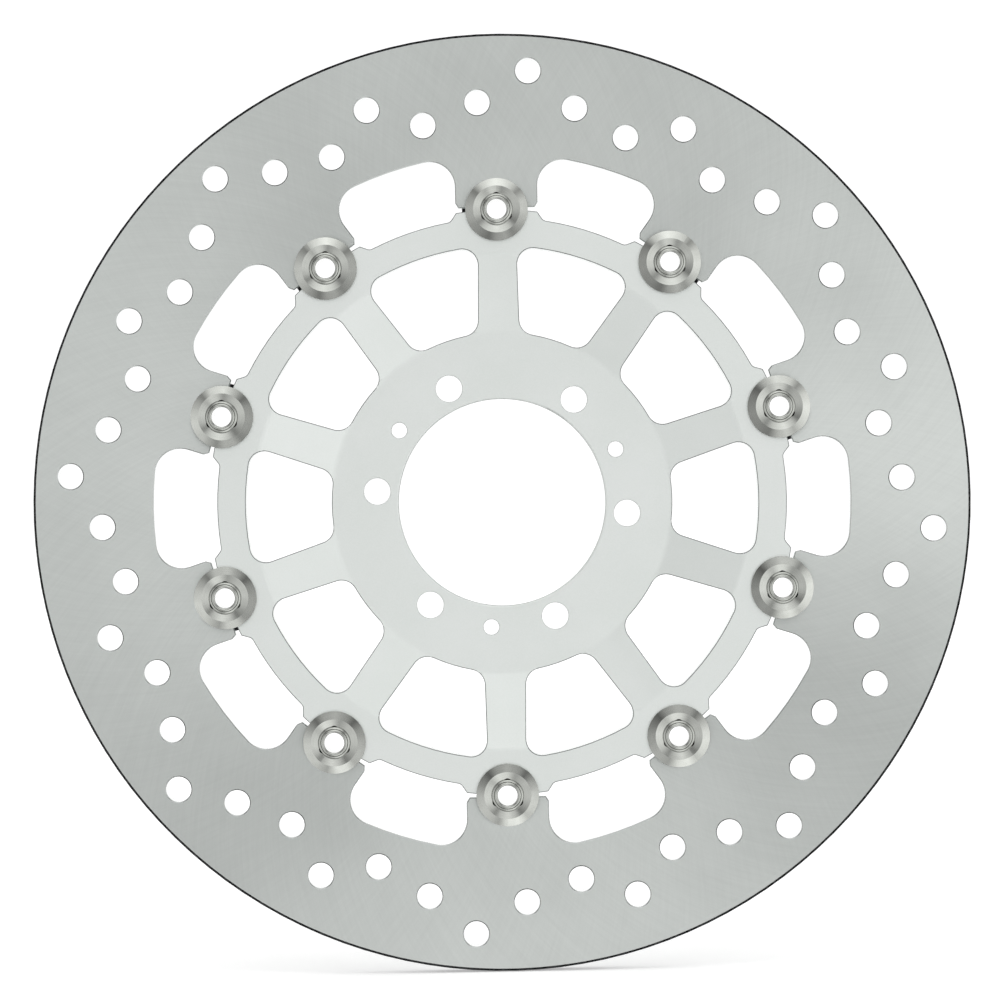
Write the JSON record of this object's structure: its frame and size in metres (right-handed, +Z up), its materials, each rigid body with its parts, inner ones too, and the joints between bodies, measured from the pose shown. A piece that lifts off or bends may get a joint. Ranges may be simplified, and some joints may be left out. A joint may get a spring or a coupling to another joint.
{
  "type": "motorcycle brake disc",
  "caption": "Floating motorcycle brake disc: drilled steel friction ring hung on a dished aluminium carrier by riveted drive buttons with spring and shim washers",
  "frame": {"origin": "on the wheel axis, in the plane of the hub mounting face, at the centre of the bolt circle", "axes": "Y is the wheel axis and +Y points from the hub face into the wheel, so the outboard face looks along -Y; Z is up and one drive button is at the top"},
  "size_m": [0.296, 0.0193, 0.296],
  "materials": {
    "rotor_steel": "circular ground friction faces",
    "carrier_aluminium": "satin, bead-blasted",
    "button_steel": "fine turned",
    "spring_steel": "blackened",
    "shim_steel": "rolled, bright"
  },
  "bodies": {
    "carrier": {"carrier": "carrier_aluminium"},
    "rotor": {"rotor_ring": "rotor_steel"},
    "button_01": {"bobbin_01": "button_steel", "cap_01": "button_steel", "spring_washer_01": "spring_steel", "shim_washer_01": "shim_steel"},
    "button_02": {"bobbin_02": "button_steel", "cap_02": "button_steel", "spring_washer_02": "spring_steel", "shim_washer_02": "shim_steel"},
    "button_03": {"bobbin_03": "button_steel", "cap_03": "button_steel", "spring_washer_03": "spring_steel", "shim_washer_03": "shim_steel"},
    "button_04": {"bobbin_04": "button_steel", "cap_04": "button_steel", "spring_washer_04": "spring_steel", "shim_washer_04": "shim_steel"},
    "button_05": {"bobbin_05": "button_steel", "cap_05": "button_steel", "spring_washer_05": "spring_steel", "shim_washer_05": "shim_steel"},
    "button_06": {"bobbin_06": "button_steel", "cap_06": "button_steel", "spring_washer_06": "spring_steel", "shim_washer_06": "shim_steel"},
    "button_07": {"bobbin_07": "button_steel", "cap_07": "button_steel", "spring_washer_07": "spring_steel", "shim_washer_07": "shim_steel"},
    "button_08": {"bobbin_08": "button_steel", "cap_08": "button_steel", "spring_washer_08": "spring_steel", "shim_washer_08": "shim_steel"},
    "button_09": {"bobbin_09": "button_steel", "cap_09": "button_steel", "spring_washer_09": "spring_steel", "shim_washer_09": "shim_steel"},
    "button_10": {"bobbin_10": "button_steel", "cap_10": "button_steel", "spring_washer_10": "spring_steel", "shim_washer_10": "shim_steel"}
  },
  "joints": [
    {"name": "rotor_float", "type": "slide", "parent": "carrier", "child": "rotor", "axis": [0, 1, 0], "range_m": [-0.0002, 0.0002]},
    {"name": "button_01_spin", "type": "hinge", "parent": "carrier", "child": "button_01", "pos_m": [0.08788, -0.013, 0.02855], "axis": [0, 1, 0], "continuous": true},
    {"name": "button_02_spin", "type": "hinge", "parent": "carrier", "child": "button_02", "pos_m": [0.05431, -0.013, 0.07475], "axis": [0, 1, 0], "continuous": true},
    {"name": "button_03_spin", "type": "hinge", "parent": "carrier", "child": "button_03", "pos_m": [0, -0.013, 0.0924], "axis": [0, 1, 0], "continuous": true},
    {"name": "button_04_spin", "type": "hinge", "parent": "carrier", "child": "button_04", "pos_m": [-0.05431, -0.013, 0.07475], "axis": [0, 1, 0], "continuous": true},
    {"name": "button_05_spin", "type": "hinge", "parent": "carrier", "child": "button_05", "pos_m": [-0.08788, -0.013, 0.02855], "axis": [0, 1, 0], "continuous": true},
    {"name": "button_06_spin", "type": "hinge", "parent": "carrier", "child": "button_06", "pos_m": [-0.08788, -0.013, -0.02855], "axis": [0, 1, 0], "continuous": true},
    {"name": "button_07_spin", "type": "hinge", "parent": "carrier", "child": "button_07", "pos_m": [-0.05431, -0.013, -0.07475], "axis": [0, 1, 0], "continuous": true},
    {"name": "button_08_spin", "type": "hinge", "parent": "carrier", "child": "button_08", "pos_m": [0, -0.013, -0.0924], "axis": [0, 1, 0], "continuous": true},
    {"name": "button_09_spin", "type": "hinge", "parent": "carrier", "child": "button_09", "pos_m": [0.05431, -0.013, -0.07475], "axis": [0, 1, 0], "continuous": true},
    {"name": "button_10_spin", "type": "hinge", "parent": "carrier", "child": "button_10", "pos_m": [0.08788, -0.013, -0.02855], "axis": [0, 1, 0], "continuous": true}
  ]
}
